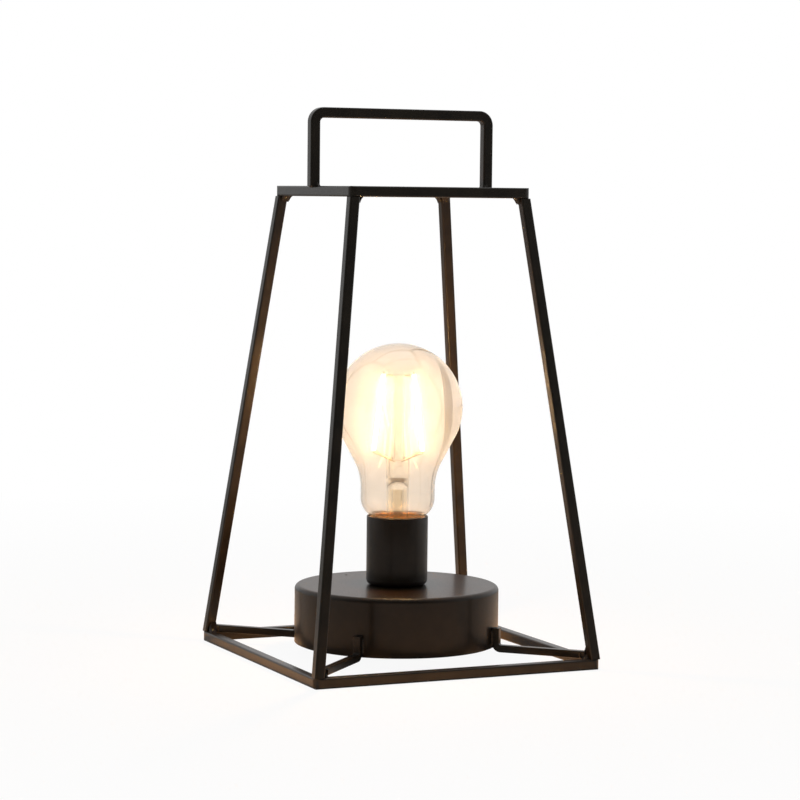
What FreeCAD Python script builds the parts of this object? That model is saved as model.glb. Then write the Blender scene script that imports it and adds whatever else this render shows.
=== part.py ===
"""Lantern table lamp: a tapering cage of square bar round a clear filament bulb.

Millimetres. X runs along the front of the lamp, Y goes to its back, Z is up, and
the origin is the centre of the square that the lamp stands on.
"""
import FreeCAD, Part
import math
import os
import Sketcher

os.makedirs("parts", exist_ok=True)
doc = FreeCAD.newDocument("LanternTableLamp")
sheet = doc.addObject("Spreadsheet::Sheet", "Dims")

# name, value, what it is.  Every other size of the lamp is worked out from these.
SIZES = [
    ("cage_bar", 4.8, "square bar of the cage"),
    ("cage_bar_edge", 0.8, "rounding along the bar's edges"),
    ("base_width", 142.0, "bottom ring, outside"),
    ("top_width", 90.0, "top ring, outside"),
    ("ring_corner", 3.0, "rounding of the rings' corners"),
    ("cage_height", 220.0, "floor to the top of the top ring"),
    ("lamp_height", 256.0, "floor to the top of the handle"),
    ("handle_width", 93.0, "handle, outside, at its top"),
    ("handle_overhang", 1.5, "handle's feet past the outside of the top ring"),
    ("handle_bend", 4.4, "bend of the handle, on the bar's centre line"),
    ("strut_bar", 3.4, "square bar of the struts"),
    ("strut_edge", 0.4, "rounding along the struts' edges"),
    ("strut_bend", 2.4, "bend of a strut, on the bar's centre line"),
    ("strut_rise", 11.2, "height of a strut's turned-up end"),
    ("fit_gap", 0.1, "gap that a weld, cement or solder fills"),
    ("drum_diameter", 96.0, "drum, outside"),
    ("drum_height", 27.0, "drum"),
    ("drum_lift", 6.5, "floor to the drum's rim"),
    ("drum_sheet", 0.8, "sheet steel of the drum"),
    ("drum_edge", 2.2, "rounding of the drum's top edge"),
    ("vent_bore", 1.6, "vent hole in the drum's top"),
    ("vent_reach", 37.5, "vent hole from the axis"),
    ("vent_turn", 106.0, "vent hole's direction, degrees from X"),
    ("cup_diameter", 28.8, "socket cup, outside"),
    ("cup_height", 32.5, "socket cup"),
    ("cup_sheet", 0.6, "sheet steel of the cup"),
    ("cup_edge", 2.6, "rounding of the cup's foot"),
    ("nipple_diameter", 9.8, "threaded tube that clamps cup and drum"),
    ("nipple_bore", 7.8, "bore of that tube"),
    ("nipple_play", 0.15, "play of the tube in its holes"),
    ("nipple_drop", 5.6, "tube below the drum's top sheet"),
    ("nut_width", 14.0, "nut across its corners"),
    ("nut_height", 3.6, "nut"),
    ("washer_diameter", 18.0, "washer under the drum's top"),
    ("washer_sheet", 1.0, "washer"),
    ("holder_diameter", 22.6, "insulator of the lampholder"),
    ("holder_height", 4.9, "insulator of the lampholder"),
    ("shell_diameter", 27.4, "lampholder's screw shell, outside"),
    ("shell_sheet", 0.3, "brass of the screw shell"),
    ("shell_height", 23.6, "screw shell"),
    ("shell_seat", 17.0, "hole in the screw shell's floor"),
    ("tongue_width", 4.6, "centre contact tongue"),
    ("tongue_sheet", 0.5, "centre contact tongue"),
    ("tongue_reach", 7.2, "centre contact tongue, axis to rivet"),
    ("tongue_foot", 1.5, "centre contact tongue, its riveted foot"),
    ("tongue_rise", 1.3, "centre contact tongue above its foot"),
    ("bulb_diameter", 60.0, "glass bulb"),
    ("bulb_height", 81.6, "cap's top edge to the bulb's top"),
    ("glass", 0.7, "wall of the bulb"),
    ("globe_angle", 28.0, "where the globe turns into the cone, degrees below level"),
    ("neck_diameter", 34.7, "glass neck"),
    ("neck_low", 9.1, "cap's top edge to the neck's widest point"),
    ("neck_high", 13.6, "cap's top edge to the top of the straight neck"),
    ("neck_tuck", 10.0, "rounding under the neck"),
    ("seal_diameter", 23.5, "glass inside the cap"),
    ("seal_depth", 5.4, "glass inside the cap"),
    ("cap_major", 26.2, "cap's thread, crests"),
    ("cap_minor", 24.6, "cap's thread, roots"),
    ("cap_bore", 24.0, "cap, inside"),
    ("cap_pitch", 3.63, "pitch of the cap's thread"),
    ("cap_flank", 0.45, "height of half a flank of the cap's thread"),
    ("cap_collar", 1.3, "plain collar above the thread"),
    ("cap_shoulder", 3.2, "cap below the thread"),
    ("cap_sheet", 0.4, "brass of the cap"),
    ("cap_mouth", 16.8, "hole at the cap's lower end"),
    ("cap_lift", 0.3, "cap's tip above the centre contact"),
    ("tip_diameter", 9.2, "centre tip of the cap"),
    ("tip_height", 1.0, "centre tip of the cap"),
    ("tip_stud", 5.6, "stud of the centre tip"),
    ("vitrite_height", 2.5, "glass insulator of the cap"),
    ("stem_tube", 8.0, "glass stem, its tube"),
    ("stem_rod", 3.2, "glass stem, its rod"),
    ("stem_wall", 0.8, "glass stem, wall of its tube"),
    ("stem_bead", 5.0, "bead on top of the stem"),
    ("press_width", 10.0, "pinch of the stem"),
    ("press_sheet", 3.6, "pinch of the stem"),
    ("press_height", 7.0, "pinch of the stem"),
    ("press_rise", 19.0, "cap's top edge to the pinch"),
    ("stem_rise", 66.6, "cap's top edge to the stem's bead"),
    ("filament", 1.9, "one LED filament"),
    ("filament_top", 15.6, "filaments' upper ends, across"),
    ("filament_foot", 25.2, "filaments' lower ends, across"),
    ("filament_high", 67.4, "cap's top edge to the filaments' upper ends"),
    ("filament_low", 31.4, "cap's top edge to the filaments' lower ends"),
    ("filament_turn", -24.5, "direction of the filament pairs, degrees from X"),
    ("filament_fan", 25.0, "half angle inside a pair"),
    ("support_wire", 0.8, "wires that hold the filaments"),
    ("tray_play", 0.4, "battery tray inside the drum"),
    ("tray_floor", 3.0, "battery tray, floor"),
    ("tray_drop", 0.5, "battery tray below the drum's rim"),
    ("tray_rim", 7.0, "battery tray, height of its rim wall"),
    ("tray_wall", 1.6, "battery tray, walls"),
    ("cell_diameter", 14.2, "one cell"),
    ("cell_length", 49.0, "one cell without its nub"),
    ("cell_nub", 1.3, "nub of a cell"),
    ("cell_nub_width", 5.4, "nub of a cell"),
    ("cell_play", 0.4, "room round a cell"),
    ("contact_sheet", 0.4, "battery contacts"),
    ("contact_width", 8.0, "battery contacts"),
    ("contact_flat", 2.4, "flat of a contact that meets the cell"),
    ("contact_room", 3.2, "room for a contact at each end"),
    ("door_sheet", 1.8, "battery door"),
    ("door_lap", 1.5, "battery door past the edge of the bay"),
    ("door_play", 0.3, "gap round the battery door"),
    ("door_tab", 1.2, "reach of the tabs at the door's sides"),
    ("tab_length", 8.0, "tabs at the door's sides"),
    ("door_ledge", 0.8, "ledge that carries the tabs"),
    ("door_travel", 9.0, "slide that frees the battery door"),
    ("grip_width", 14.0, "finger grip in the battery door"),
    ("grip_length", 5.0, "finger grip in the battery door"),
    ("grip_depth", 0.6, "finger grip in the battery door"),
    ("switch_reach", 34.5, "switch from the axis"),
    ("switch_travel", 2.0, "switch to each side"),
    ("knob_length", 4.0, "switch knob"),
    ("knob_width", 3.0, "switch knob"),
    ("knob_stand", 0.9, "switch knob below the tray"),
    ("knob_play", 0.3, "play of the knob in its slot"),
    ("knob_flange", 0.6, "knob's foot past its stem"),
    ("knob_foot", 1.2, "height of the knob's foot"),
    ("switch_length", 13.0, "switch housing"),
    ("switch_width", 6.0, "switch housing"),
    ("switch_height", 4.6, "switch housing"),
    ("board_length", 30.0, "timer board"),
    ("board_width", 14.0, "timer board"),
    ("board_sheet", 1.6, "timer board"),
    ("board_rise", 3.0, "timer board above the tray's floor"),
    ("board_room", 0.8, "timer board from the bay's wall"),
    ("lead", 1.4, "lead, over its sheath"),
    ("lead_bend", 3.0, "bend of a lead"),
    ("lead_spread", 5.0, "between the two leads"),
    ("lug_reach", 41.0, "tray screws from the axis"),
    ("lug_width", 8.0, "lug that takes a tray screw"),
    ("lug_edge", 3.0, "tray screw's axis to the lug's inner edge"),
    ("lug_sheet", 1.5, "lug that takes a tray screw"),
    ("lug_height", 7.0, "lug's flange on the drum's wall"),
    ("boss_diameter", 7.6, "boss round a tray screw"),
    ("screw_head", 5.6, "tray screw, head"),
    ("screw_head_height", 1.7, "tray screw, head"),
    ("screw_sink", 0.3, "tray screw's head above the tray's underside"),
    ("screw_shank", 2.9, "tray screw, shank"),
    ("screw_length", 9.0, "tray screw under its head"),
    ("screw_slot", 0.8, "cross recess of a tray screw, width"),
    ("screw_cross", 3.4, "cross recess of a tray screw, across"),
    ("screw_recess", 1.0, "cross recess of a tray screw, depth"),
]


class Size:
    """A length or angle that knows its value and the sheet formula it comes from."""

    def __init__(self, value, text):
        self.value = value
        self.text = text

    def join(self, sign, other, value):
        return Size(value, "(%s %s %s)" % (self.text, sign, other.text))

    def __add__(self, other):
        other = size(other)
        return self.join("+", other, self.value + other.value)

    def __sub__(self, other):
        other = size(other)
        return self.join("-", other, self.value - other.value)

    def __mul__(self, other):
        other = size(other)
        return self.join("*", other, self.value * other.value)

    def __truediv__(self, other):
        other = size(other)
        return self.join("/", other, self.value / other.value)

    def __neg__(self):
        return Size(-self.value, "(0 - %s)" % self.text)

    def __radd__(self, other):
        return size(other) + self

    def __rsub__(self, other):
        return size(other) - self

    def __rmul__(self, other):
        return size(other) * self


def size(number):
    """A plain number as a Size."""
    if isinstance(number, Size):
        return number
    return Size(float(number), repr(float(number)))


def cosine(angle):
    """Cosine of a Size in degrees."""
    return Size(math.cos(math.radians(angle.value)), "cos(%s * 1deg)" % angle.text)


def sine(angle):
    """Sine of a Size in degrees."""
    return Size(math.sin(math.radians(angle.value)), "sin(%s * 1deg)" % angle.text)


def root(area):
    """Square root of a Size."""
    return Size(math.sqrt(area.value), "sqrt(%s)" % area.text)


class Sheet:
    """The driving dimensions, read as D.name."""


D = Sheet()
for row, (alias, value, note) in enumerate(SIZES, start=1):
    sheet.set("A%d" % row, note)
    sheet.set("B%d" % row, repr(value))
    sheet.setAlias("B%d" % row, alias)
    setattr(D, alias, Size(value, "Dims." + alias))
doc.recompute()


# ---------------------------------------------------------------- building blocks

NODES = []


def node(shape_object, label):
    """Names an object as a sub-part of the lamp."""
    shape_object.Label = label
    NODES.append(shape_object)
    return shape_object


def bind(target, **sizes):
    """Ties properties of an object to the sheet."""
    for name, length in sizes.items():
        target.setExpression(name, size(length).text)


def place(target, x=0, y=0, z=0, turn=0):
    """Puts an object at a point, turned about Z."""
    turned = FreeCAD.Rotation(FreeCAD.Vector(0, 0, 1), size(turn).value)
    target.Placement = FreeCAD.Placement(FreeCAD.Vector(0, 0, 0), turned)
    for axis, length in (("x", x), ("y", y), ("z", z)):
        target.setExpression("Placement.Base." + axis, size(length).text)
    if isinstance(turn, Size):
        target.setExpression("Placement.Rotation.Angle", turn.text)
    return target


def new_body(name):
    return doc.addObject("PartDesign::Body", name)


def origin_plane(body, role):
    for feature in body.Origin.OriginFeatures:
        if feature.Role == role:
            return feature


def new_sketch(body, plane, offset=0):
    """A sketch on one of the body's own origin planes, lifted by offset."""
    sketch = body.newObject("Sketcher::SketchObject", "Sketch")
    sketch.AttachmentSupport = [(origin_plane(body, plane), "")]
    sketch.MapMode = "FlatFace"
    sketch.setExpression("AttachmentOffset.Base.z", size(offset).text)
    return sketch


def pin_point(sketch, geometry, end, x, y):
    """Fixes one point of a sketch by its two coordinates."""
    if abs(x.value) < 1e-9:
        sketch.addConstraint(Sketcher.Constraint("PointOnObject", geometry, end, -2))
    else:
        where = sketch.addConstraint(
            Sketcher.Constraint("DistanceX", -1, 1, geometry, end, x.value))
        sketch.setExpression("Constraints[%d]" % where, x.text)
    if abs(y.value) < 1e-9:
        sketch.addConstraint(Sketcher.Constraint("PointOnObject", geometry, end, -1))
    else:
        where = sketch.addConstraint(
            Sketcher.Constraint("DistanceY", -1, 1, geometry, end, y.value))
        sketch.setExpression("Constraints[%d]" % where, y.text)


def arc_between(start, end, radius):
    """The shorter arc from start to end; a positive radius turns to the left."""
    middle = (start + end) * 0.5
    chord = end - start
    half = chord.Length / 2
    rise = math.sqrt(max(radius * radius - half * half, 0.0))
    left = FreeCAD.Vector(-chord.y, chord.x, 0) * (1 / chord.Length)
    side = 1 if radius > 0 else -1
    centre = middle + left * rise * side
    first, last = (start, end) if radius > 0 else (end, start)
    begin = math.atan2(first.y - centre.y, first.x - centre.x)
    finish = math.atan2(last.y - centre.y, last.x - centre.x)
    circle = Part.Circle(centre, FreeCAD.Vector(0, 0, 1), abs(radius))
    return Part.ArcOfCircle(circle, begin, finish)


def draw(sketch, points, closed=True):
    """Draws lines and arcs from point to point and ties each point to the sheet.

    A point is (x, y), reached by a straight line, or (x, y, radius), reached by an
    arc, to the left where the radius is positive.
    """
    corners = [(size(p[0]), size(p[1])) for p in points]
    count = len(points) if closed else len(points) - 1
    ends = []
    for i in range(count):
        j = (i + 1) % len(points)
        start = FreeCAD.Vector(corners[i][0].value, corners[i][1].value, 0)
        end = FreeCAD.Vector(corners[j][0].value, corners[j][1].value, 0)
        if len(points[j]) == 2:
            number = sketch.addGeometry(Part.LineSegment(start, end), False)
            ends.append((number, 1, 2))
        else:
            radius = size(points[j][2])
            number = sketch.addGeometry(arc_between(start, end, radius.value), False)
            where = sketch.addConstraint(
                Sketcher.Constraint("Radius", number, abs(radius.value)))
            text = radius.text if radius.value > 0 else "(0 - %s)" % radius.text
            sketch.setExpression("Constraints[%d]" % where, text)
            ends.append((number, 1, 2) if radius.value > 0 else (number, 2, 1))
    for i in range(count):
        number, first, last = ends[i]
        pin_point(sketch, number, first, *corners[i])
        if closed or i + 1 < count:
            after, after_first, _ = ends[(i + 1) % count]
            sketch.addConstraint(
                Sketcher.Constraint("Coincident", number, last, after, after_first))
    if not closed:
        number, first, last = ends[-1]
        pin_point(sketch, number, last, *corners[-1])
    return sketch


def draw_ring(sketch, radius, x=0, y=0):
    """Draws a circle tied to the sheet."""
    x, y, radius = size(x), size(y), size(radius)
    circle = Part.Circle(FreeCAD.Vector(x.value, y.value, 0), FreeCAD.Vector(0, 0, 1), radius.value)
    number = sketch.addGeometry(circle, False)
    pin_point(sketch, number, 3, x, y)
    where = sketch.addConstraint(Sketcher.Constraint("Radius", number, radius.value))
    sketch.setExpression("Constraints[%d]" % where, radius.text)
    return sketch


def rounded_square(side, edge, x=0, y=0):
    """Corner points of a square with rounded corners, for draw()."""
    x, y = size(x), size(y)
    half = side / 2
    flat = half - edge
    return [
        (x - flat, y - half, edge), (x + flat, y - half),
        (x + half, y - flat, edge), (x + half, y + flat),
        (x + flat, y + half, edge), (x - flat, y + half),
        (x - half, y + flat, edge), (x - half, y - flat),
    ]


def rectangle(x0, x1, y0, y1):
    """Corner points of a rectangle, for draw()."""
    return [(x0, y0), (x1, y0), (x1, y1), (x0, y1)]


def revolved(label, points, plane="XZ_Plane"):
    """A body turned from its half section, points as (radius, height).

    The axis is Z, or Y where the section is drawn on the XY plane.
    """
    body = new_body(label)
    sketch = draw(new_sketch(body, plane), points)
    turned = body.newObject("PartDesign::Revolution", "Turned")
    turned.Profile = sketch
    turned.ReferenceAxis = (sketch, ["V_Axis"])
    turned.Angle = 360
    body.Tip = turned
    return body


def pad(body, sketch, length, midplane=False):
    """A pad of a sketch, away from its plane or to both sides alike."""
    padded = body.newObject("PartDesign::Pad", "Pad")
    padded.Profile = sketch
    padded.Midplane = midplane
    bind(padded, Length=length)
    body.Tip = padded
    return padded


def pocket(body, sketch, length, upwards=True):
    """A pocket from a sketch's plane, towards +Z of the plane unless told otherwise."""
    cut = body.newObject("PartDesign::Pocket", "Pocket")
    cut.Profile = sketch
    cut.Reversed = upwards
    bind(cut, Length=length)
    body.Tip = cut
    return cut


def bent_bar(label, section, path):
    """A bar swept along a bent path, each drawn by a function on the new body."""
    body = new_body(label)
    section_sketch = section(body)
    path_sketch = path(body)
    sweep = body.newObject("PartDesign::AdditivePipe", "Sweep")
    sweep.Profile = section_sketch
    sweep.Spine = path_sketch
    body.Tip = sweep
    return body


def block(name, x0, x1, y0, y1, z0, z1):
    """A box from corner to corner."""
    box = doc.addObject("Part::Box", name)
    bind(box, Length=x1 - x0, Width=y1 - y0, Height=z1 - z0)
    return place(box, x0, y0, z0)


def rod(name, radius, height, x=0, y=0, z=0):
    """An upright cylinder."""
    cylinder = doc.addObject("Part::Cylinder", name)
    bind(cylinder, Radius=radius, Height=height)
    return place(cylinder, x, y, z)


def fuse(name, shapes):
    joined = doc.addObject("Part::MultiFuse", name)
    joined.Shapes = shapes
    joined.Refine = True
    return joined


def cut(name, base, tool):
    removed = doc.addObject("Part::Cut", name)
    removed.Base = base
    removed.Tool = tool
    removed.Refine = True
    return removed


def group(name, shapes):
    """Separate solids that share one node."""
    together = doc.addObject("Part::Compound", name)
    together.Links = shapes
    return together


# ---------------------------------------------------------------- the cage

QUARTERS = [("back_right", 0), ("back_left", 90), ("front_left", 180), ("front_right", 270)]
SIDES = [("back", 0), ("left", 90), ("front", 180), ("right", 270)]
DIAGONAL = root(size(2))

leg_foot = (D.base_width - D.cage_bar) / 2
leg_head = (D.top_width - D.cage_bar) / 2
top_ring_low = D.cage_height - D.cage_bar
lean = (leg_foot - leg_head) / (top_ring_low - D.cage_bar)


def mitre(width, side):
    """What is cut off one end of a rail: beyond the mitre and the rounded corner."""
    outer = width / 2
    centre = outer - D.ring_corner
    middle = centre + D.ring_corner / DIAGONAL
    inner = outer - 2 * D.cage_bar
    beyond = outer + D.cage_bar
    return [
        (side * centre, outer), (side * middle, middle, -side * D.ring_corner),
        (side * inner, inner), (side * beyond, inner),
        (side * beyond, beyond), (side * centre, beyond),
    ]


def rail(label, width, low, turn):
    """One side of a ring: a bar with rounded edges and mitred, rounded ends."""
    body = new_body(label)
    across, up = (width - D.cage_bar) / 2, low + D.cage_bar / 2
    section = draw(new_sketch(body, "YZ_Plane", -width / 2),
                   rounded_square(D.cage_bar, D.cage_bar_edge, across, up))
    pad(body, section, width)
    ends = new_sketch(body, "XY_Plane", low)
    draw(ends, mitre(width, size(1)))
    draw(ends, mitre(width, size(-1)))
    pocket(body, ends, D.cage_bar)
    return node(place(body, turn=turn), label)


def leg(label, turn):
    """A corner bar, level square sections from the bottom ring to the top ring."""
    body = new_body(label)
    foot = draw(new_sketch(body, "XY_Plane", D.cage_bar),
                rounded_square(D.cage_bar, D.cage_bar_edge, leg_foot, leg_foot))
    head = draw(new_sketch(body, "XY_Plane", top_ring_low),
                rounded_square(D.cage_bar, D.cage_bar_edge, leg_head, leg_head))
    loft = body.newObject("PartDesign::AdditiveLoft", "Leg")
    loft.Profile = foot
    loft.Sections = [head]
    loft.Ruled = True
    body.Tip = loft
    return node(place(body, turn=turn), label)


def strut(label, turn):
    """A thin bar from a leg's foot to the drum, its end turned up along the drum."""
    middle = D.cage_bar + D.strut_bar / 2
    outer = (D.base_width / 2 - D.cage_bar - lean * D.strut_bar) * DIAGONAL - D.fit_gap
    post = (D.drum_diameter + D.strut_bar) / 2 + D.fit_gap
    top = D.cage_bar + D.strut_rise

    def section(body):
        return draw(new_sketch(body, "YZ_Plane", outer),
                    rounded_square(D.strut_bar, D.strut_edge, 0, middle))

    def path(body):
        return draw(new_sketch(body, "XZ_Plane"),
                    [(outer, middle), (post + D.strut_bend, middle),
                     (post, middle + D.strut_bend, -D.strut_bend), (post, top)], closed=False)

    return node(place(bent_bar(label, section, path), turn=turn + 45), label)


def carry_handle():
    """The bail of the same bar, welded upright on the middles of the side rails.

    The feet follow the top ring and the bends follow the handle's own width, so the
    uprights lean where the two differ, and each bend stays tangent to its upright.
    """
    foot = (D.top_width - D.cage_bar) / 2 + D.handle_overhang
    reach = (D.handle_width - D.cage_bar) / 2
    top = D.lamp_height - D.cage_bar / 2
    inward, rise = foot - reach, top - D.cage_height
    upright = root(inward * inward + rise * rise)
    tangent = D.handle_bend * rise / (upright + inward)
    bend_reach = reach + tangent * inward / upright
    bend_low = top - tangent * rise / upright

    def section(body):
        return draw(new_sketch(body, "XY_Plane", D.cage_height),
                    rounded_square(D.cage_bar, D.cage_bar_edge, -foot, 0))

    def path(body):
        return draw(new_sketch(body, "XZ_Plane"),
                    [(-foot, D.cage_height), (-bend_reach, bend_low),
                     (-reach + tangent, top, -D.handle_bend),
                     (reach - tangent, top),
                     (bend_reach, bend_low, -D.handle_bend),
                     (foot, D.cage_height)], closed=False)

    return node(bent_bar("carry_handle", section, path), "carry_handle")


for side, turn in SIDES:
    rail("base_rail_" + side, D.base_width, size(0), turn)
for side, turn in SIDES:
    rail("top_rail_" + side, D.top_width, top_ring_low, turn)
for quarter, turn in QUARTERS:
    leg("leg_" + quarter, turn)
for quarter, turn in QUARTERS:
    strut("strut_" + quarter, turn)
carry_handle()


# ---------------------------------------------------------------- drum and socket

drum_radius = D.drum_diameter / 2
drum_top = D.drum_lift + D.drum_height
drum_inside = drum_top - D.drum_sheet
nipple_radius = D.nipple_diameter / 2
nipple_hole = nipple_radius + D.nipple_play
cup_top = drum_top + D.cup_height
cup_floor = drum_top + D.cup_sheet
cup_radius = D.cup_diameter / 2
holder_top = cup_floor + D.holder_height


def drum_shell():
    """A drawn steel cap: flat top, rounded edge, straight skirt, open underneath."""
    inner_edge = D.drum_edge - D.drum_sheet
    inner_radius = drum_radius - D.drum_sheet
    body = revolved("drum_shell", [
        (nipple_hole, drum_inside), (drum_radius - D.drum_edge, drum_inside),
        (inner_radius, drum_inside - inner_edge, -inner_edge), (inner_radius, D.drum_lift),
        (drum_radius, D.drum_lift), (drum_radius, drum_top - D.drum_edge),
        (drum_radius - D.drum_edge, drum_top, D.drum_edge), (nipple_hole, drum_top),
    ])
    vent = draw_ring(new_sketch(body, "XY_Plane", drum_top), D.vent_bore / 2,
                     D.vent_reach * cosine(D.vent_turn), D.vent_reach * sine(D.vent_turn))
    pocket(body, vent, D.drum_sheet, upwards=False)
    return node(body, "drum_shell")


def socket_cup():
    """The drawn cup that hides the lampholder."""
    inner_edge = D.cup_edge - D.cup_sheet
    inner_radius = cup_radius - D.cup_sheet
    body = revolved("socket_cup", [
        (nipple_hole, drum_top), (cup_radius - D.cup_edge, drum_top),
        (cup_radius, drum_top + D.cup_edge, D.cup_edge), (cup_radius, cup_top),
        (inner_radius, cup_top), (inner_radius, cup_floor + inner_edge),
        (cup_radius - D.cup_edge, cup_floor, -inner_edge), (nipple_hole, cup_floor),
    ])
    return node(body, "socket_cup")


def collar(label, bore, radius, low, high):
    """A plain ring."""
    return revolved(label, rectangle(bore, radius, low, high))


def nipple():
    """The threaded tube that clamps the cup on the drum and lets the leads through."""
    low = drum_inside - D.nipple_drop
    high = holder_top - D.tongue_rise - D.tongue_sheet
    tube = collar("nipple", D.nipple_bore / 2, nipple_radius, low, high)
    return node(tube, "nipple")


def nut():
    """Hexagon nut on the nipple, under the washer."""
    high = drum_inside - D.washer_sheet
    hexagon = doc.addObject("Part::Prism", "Hexagon")
    hexagon.Polygon = 6
    bind(hexagon, Circumradius=D.nut_width / 2, Height=D.nut_height)
    place(hexagon, z=high - D.nut_height)
    bore = rod("NutBore", nipple_hole, D.nut_height, z=high - D.nut_height)
    return node(cut("Nut", hexagon, bore), "nipple_nut")


def washer():
    ring = collar("washer", nipple_hole, D.washer_diameter / 2,
                  drum_inside - D.washer_sheet, drum_inside)
    return node(ring, "nipple_washer")


def lampholder():
    """Insulator, screw shell and centre contact inside the cup."""
    base = collar("holder", nipple_hole, D.holder_diameter / 2, cup_floor, holder_top)
    node(base, "lampholder_base")
    outer = D.shell_diameter / 2
    seat = holder_top + D.shell_sheet
    shell = revolved("shell", [
        (D.shell_seat / 2, holder_top), (outer, holder_top),
        (outer, holder_top + D.shell_height),
        (outer - D.shell_sheet, holder_top + D.shell_height),
        (outer - D.shell_sheet, seat), (D.shell_seat / 2, seat),
    ])
    node(shell, "lampholder_shell")
    heel = D.tongue_reach - D.tongue_foot
    toe = D.tongue_width / 2
    low, high = holder_top, holder_top + D.tongue_rise
    body = new_body("tongue")
    strip = draw(new_sketch(body, "XZ_Plane"), [
        (-D.tongue_reach, low), (-heel, low), (-toe, high), (toe, high),
        (toe, high + D.tongue_sheet), (-toe - D.tongue_sheet / 2, high + D.tongue_sheet),
        (-heel - D.tongue_sheet / 2, low + D.tongue_sheet),
        (-D.tongue_reach, low + D.tongue_sheet),
    ])
    pad(body, strip, D.tongue_width, midplane=True)
    return node(body, "centre_contact")


drum_shell()
socket_cup()
nipple()
nut()
washer()
lampholder()


# ---------------------------------------------------------------- the bulb

tip_low = holder_top + D.tongue_rise + D.tongue_sheet + D.cap_lift
tip_high = tip_low + D.tip_height
vitrite_top = tip_high + D.vitrite_height
thread_low = vitrite_top + D.cap_shoulder
THREAD_HALF_TURNS = 9
thread_high = thread_low + D.cap_pitch * (THREAD_HALF_TURNS / 2)
cap_top = thread_high + D.cap_collar


def bulb_cap():
    """The brass screw cap: thread ridges and grooves between collar and shoulder."""
    major, minor, bore = D.cap_major / 2, D.cap_minor / 2, D.cap_bore / 2
    middle = (major + minor) / 2
    mouth = D.cap_mouth / 2
    outside = [(mouth, vitrite_top), (minor - D.cap_shoulder / 2, vitrite_top + D.cap_sheet),
               (middle, thread_low)]
    for turn in range(THREAD_HALF_TURNS):
        level = minor if turn % 2 else major
        start = thread_low + D.cap_pitch * (turn / 2)
        outside += [(level, start + D.cap_flank),
                    (level, start + D.cap_pitch / 2 - D.cap_flank)]
    outside += [(middle, thread_high), (major, thread_high + D.cap_sheet),
                (major, cap_top), (bore, cap_top)]
    inside = [(bore, thread_low), (bore - D.cap_shoulder / 2, vitrite_top + 3 * D.cap_sheet),
              (mouth, vitrite_top + D.cap_sheet)]
    return node(revolved("cap", outside + inside), "bulb_cap")


def cap_insulator():
    """Black glass that carries the tip in the cap's lower end."""
    stud = D.tip_stud / 2 + D.fit_gap
    low = tip_high + D.fit_gap
    foot, rim = D.tip_diameter / 2 + D.cap_sheet, D.cap_mouth / 2 - D.cap_sheet
    body = revolved("vitrite", [
        (stud, low), (foot, low), (rim, vitrite_top - D.cap_sheet),
        (rim, vitrite_top + D.cap_sheet), (stud, vitrite_top + D.cap_sheet),
    ])
    return node(body, "cap_insulator")


def cap_tip():
    """Centre contact of the bulb: a solder button on a stud."""
    edge = D.tip_height / 2
    flat = D.tip_diameter / 2 - edge
    stud = D.tip_stud / 2
    body = revolved("tip", [
        (0, tip_low), (flat, tip_low), (D.tip_diameter / 2, tip_low + edge, edge),
        (D.tip_diameter / 2, tip_high), (stud, tip_high), (stud, vitrite_top), (0, vitrite_top),
    ])
    return node(body, "cap_tip")


def bulb_glass():
    """The blown envelope: globe, cone, hollow curve, neck and the tuck to the cap."""
    globe = D.bulb_diameter / 2
    centre = cap_top + D.bulb_height - globe
    neck = D.neck_diameter / 2
    neck_low, neck_high = cap_top + D.neck_low, cap_top + D.neck_high
    seal = D.seal_diameter / 2
    along, across = cosine(D.globe_angle), sine(D.globe_angle)
    hollow = (neck * along + (centre - neck_high) * across - globe) / (1 - along)

    def skin(inset):
        """Radii and heights of the outer skin, or of the inner one at the wall's depth."""
        tuck = D.neck_tuck - inset
        reach = seal - neck + D.neck_tuck - inset
        low = neck_low - root(tuck * tuck - reach * reach)
        curve = hollow + inset
        ball = globe - inset
        return tuck, low, curve, ball

    tuck, low, curve, ball = skin(size(0))
    outside = [
        (seal, cap_top - D.seal_depth), (seal, low), (neck, neck_low, tuck), (neck, neck_high),
        (neck + curve * (1 - along), neck_high + curve * across, -curve),
        (ball * along, centre - ball * across), (0, centre + ball, ball),
    ]
    tuck, low, curve, ball = skin(D.glass)
    neck = neck - D.glass
    seal = seal - D.glass
    inside = [
        (0, centre + ball), (ball * along, centre - ball * across, -ball),
        (neck + curve * (1 - along), neck_high + curve * across),
        (neck, neck_high, curve), (neck, neck_low), (seal, low, -tuck),
        (seal, cap_top - D.seal_depth),
    ]
    return node(revolved("glass", outside + inside), "bulb_glass")


press_low = cap_top + D.press_rise
press_high = press_low + D.press_height
stem_high = cap_top + D.stem_rise


def bulb_stem():
    """Flared glass stem, pinched where the wires pass, with a rod and a bead above."""
    tube, wall = D.stem_tube / 2, D.stem_wall
    flare = D.seal_diameter / 2 - D.glass - D.fit_gap
    low = cap_top - D.seal_depth
    bend = flare - tube
    trumpet = revolved("Trumpet", [
        (flare, low - wall, bend + wall), (flare, low), (tube, low + bend, -bend),
        (tube, press_low), (tube - wall, press_low), (tube - wall, low + bend),
    ])
    pinch = new_body("Pinch")
    across, through = D.press_width / 2, D.press_sheet / 2
    flat = draw(new_sketch(pinch, "XY_Plane", press_low),
                rectangle(-across, across, -through, through))
    pad(pinch, flat, D.press_height)
    place(pinch, turn=D.filament_turn)
    stalk = rod("Stalk", D.stem_rod / 2, stem_high - press_high, z=press_high)
    bead = doc.addObject("Part::Sphere", "Bead")
    bind(bead, Radius=D.stem_bead / 2)
    place(bead, z=stem_high)
    return node(fuse("Stem", [trumpet, pinch, stalk, bead]), "bulb_stem")


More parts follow.
